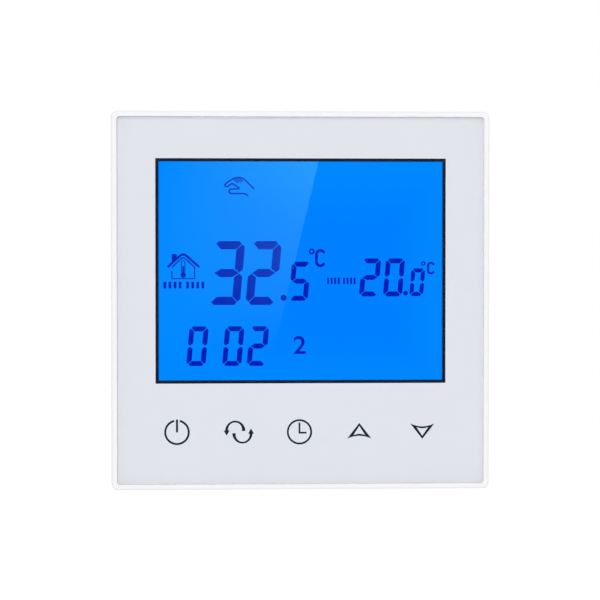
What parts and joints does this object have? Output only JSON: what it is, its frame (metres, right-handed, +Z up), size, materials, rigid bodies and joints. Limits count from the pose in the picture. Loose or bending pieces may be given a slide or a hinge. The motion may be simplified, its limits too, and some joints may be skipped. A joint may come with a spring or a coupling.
{
  "type": "wall thermostat",
  "caption": "Flush-mounted wall thermostat with a square glass touch front, a lit display, a pull-off panel, and a power box behind with a relay and screw terminals.",
  "frame": {"origin": "on the wall plane, midway between the two wall-box screws, which is the middle of the mounting plate's back face", "axes": "+X to the right as seen from the room, +Y into the wall along the screws, +Z up; the glass faces -Y"},
  "size_m": [0.086, 0.041, 0.086],
  "materials": {
    "toughened_glass": "polished, with chamfered edges",
    "foam_tape": "matte foam",
    "white_abs": "fine satin moulding",
    "display_cell": "lit from behind",
    "black_abs": "satin moulding",
    "clear_acrylic": "polished",
    "white_film": "matte",
    "blue_lamp": "clear epoxy",
    "contact_rubber": "matte, finely layered",
    "circuit_board": "solder-masked laminate",
    "tinned_spring_wire": "drawn wire",
    "moulded_epoxy": "fine matte",
    "nickel_steel": "nickel plated",
    "glass_bead": "glazed bead",
    "black_nylon": "satin moulding",
    "gilt_brass": "gilt",
    "zinc_steel": "zinc plated sheet",
    "grey_abs": "fine moulded grain",
    "green_nylon": "satin moulding",
    "tinned_copper": "tinned strip",
    "blue_polyester": "satin moulding",
    "enamelled_copper": "wound enamelled wire",
    "soft_iron": "plated stamping",
    "ferrite": "pressed and sintered",
    "yellow_tape": "wound film tape",
    "capacitor_sleeve": "shrunk sleeve",
    "yellow_epoxy": "moulded box",
    "blue_ceramic": "dipped coating",
    "heat_shrink": "shrunk sleeve",
    "zinc_clamp_steel": "zinc plated"
  },
  "bodies": {
    "base": {"mounting_plate": "zinc_steel", "power_box": "grey_abs", "flange_screws": "nickel_steel", "power_box_lid": "grey_abs", "lid_screws": "nickel_steel", "power_board": "circuit_board", "socket_body": "black_nylon", "socket_contacts": "gilt_brass", "terminal_block": "green_nylon", "terminal_contacts": "tinned_copper", "relay_cover": "blue_polyester", "relay_base": "blue_polyester", "relay_coil": "enamelled_copper", "relay_yoke": "soft_iron", "relay_contacts": "tinned_copper", "transformer_core": "ferrite", "transformer_coil": "yellow_tape", "smoothing_capacitors": "capacitor_sleeve", "film_capacitor": "yellow_epoxy", "varistor": "blue_ceramic", "fuse": "heat_shrink"},
    "panel": {"front_glass": "toughened_glass", "glass_tape": "foam_tape", "panel_frame": "white_abs", "lcd_glass": "display_cell", "lcd_holder": "black_abs", "light_guide": "clear_acrylic", "reflector_sheet": "white_film", "backlight_leds": "blue_lamp", "lcd_connector_strip": "contact_rubber", "control_board": "circuit_board", "touch_springs": "tinned_spring_wire", "control_chip": "moulded_epoxy", "touch_chip": "moulded_epoxy", "clock_cell": "nickel_steel", "cell_clip": "nickel_steel", "air_sensor": "glass_bead", "pin_header_body": "black_nylon", "header_pins": "gilt_brass", "panel_back_cover": "white_abs", "panel_screws": "nickel_steel"},
    "armature": {"relay_armature": "soft_iron"},
    "clamp_screw_1": {"terminal_screw_1": "zinc_clamp_steel"},
    "clamp_cage_1": {"terminal_cage_1": "zinc_clamp_steel"},
    "clamp_screw_2": {"terminal_screw_2": "zinc_clamp_steel"},
    "clamp_cage_2": {"terminal_cage_2": "zinc_clamp_steel"},
    "clamp_screw_3": {"terminal_screw_3": "zinc_clamp_steel"},
    "clamp_cage_3": {"terminal_cage_3": "zinc_clamp_steel"},
    "clamp_screw_4": {"terminal_screw_4": "zinc_clamp_steel"},
    "clamp_cage_4": {"terminal_cage_4": "zinc_clamp_steel"},
    "clamp_screw_5": {"terminal_screw_5": "zinc_clamp_steel"},
    "clamp_cage_5": {"terminal_cage_5": "zinc_clamp_steel"},
    "clamp_screw_6": {"terminal_screw_6": "zinc_clamp_steel"},
    "clamp_cage_6": {"terminal_cage_6": "zinc_clamp_steel"}
  },
  "joints": [
    {"name": "panel_pull", "type": "slide", "parent": "base", "child": "panel", "axis": [0, -1, 0], "range_m": [0, 0.03]},
    {"name": "armature_tip", "type": "hinge", "parent": "base", "child": "armature", "pos_m": [-0.0003, 0.0243, 0.01595], "axis": [0, 0, -1], "range_deg": [0, 3.5], "stiffness_Nm_per_rad": 0.02, "springref_deg": -5.73},
    {"name": "screw_turn_1", "type": "hinge", "parent": "base", "child": "clamp_screw_1", "pos_m": [-0.01875, 0.02, -0.0202], "axis": [0, -1, 0], "range_deg": [0, 1440]},
    {"name": "cage_lift_1", "type": "slide", "parent": "base", "child": "clamp_cage_1", "axis": [0, 1, 0], "range_m": [0, 0.0024]},
    {"name": "screw_turn_2", "type": "hinge", "parent": "base", "child": "clamp_screw_2", "pos_m": [-0.01125, 0.02, -0.0202], "axis": [0, -1, 0], "range_deg": [0, 1440]},
    {"name": "cage_lift_2", "type": "slide", "parent": "base", "child": "clamp_cage_2", "axis": [0, 1, 0], "range_m": [0, 0.0024]},
    {"name": "screw_turn_3", "type": "hinge", "parent": "base", "child": "clamp_screw_3", "pos_m": [-0.00375, 0.02, -0.0202], "axis": [0, -1, 0], "range_deg": [0, 1440]},
    {"name": "cage_lift_3", "type": "slide", "parent": "base", "child": "clamp_cage_3", "axis": [0, 1, 0], "range_m": [0, 0.0024]},
    {"name": "screw_turn_4", "type": "hinge", "parent": "base", "child": "clamp_screw_4", "pos_m": [0.00375, 0.02, -0.0202], "axis": [0, -1, 0], "range_deg": [0, 1440]},
    {"name": "cage_lift_4", "type": "slide", "parent": "base", "child": "clamp_cage_4", "axis": [0, 1, 0], "range_m": [0, 0.0024]},
    {"name": "screw_turn_5", "type": "hinge", "parent": "base", "child": "clamp_screw_5", "pos_m": [0.01125, 0.02, -0.0202], "axis": [0, -1, 0], "range_deg": [0, 1440]},
    {"name": "cage_lift_5", "type": "slide", "parent": "base", "child": "clamp_cage_5", "axis": [0, 1, 0], "range_m": [0, 0.0024]},
    {"name": "screw_turn_6", "type": "hinge", "parent": "base", "child": "clamp_screw_6", "pos_m": [0.01875, 0.02, -0.0202], "axis": [0, -1, 0], "range_deg": [0, 1440]},
    {"name": "cage_lift_6", "type": "slide", "parent": "base", "child": "clamp_cage_6", "axis": [0, 1, 0], "range_m": [0, 0.0024]}
  ],
  "couplings": [
    {"joint": "screw_turn_1", "follows": "cage_lift_1", "rad_per_m": 10472},
    {"joint": "screw_turn_2", "follows": "cage_lift_2", "rad_per_m": 10472},
    {"joint": "screw_turn_3", "follows": "cage_lift_3", "rad_per_m": 10472},
    {"joint": "screw_turn_4", "follows": "cage_lift_4", "rad_per_m": 10472},
    {"joint": "screw_turn_5", "follows": "cage_lift_5", "rad_per_m": 10472},
    {"joint": "screw_turn_6", "follows": "cage_lift_6", "rad_per_m": 10472}
  ]
}
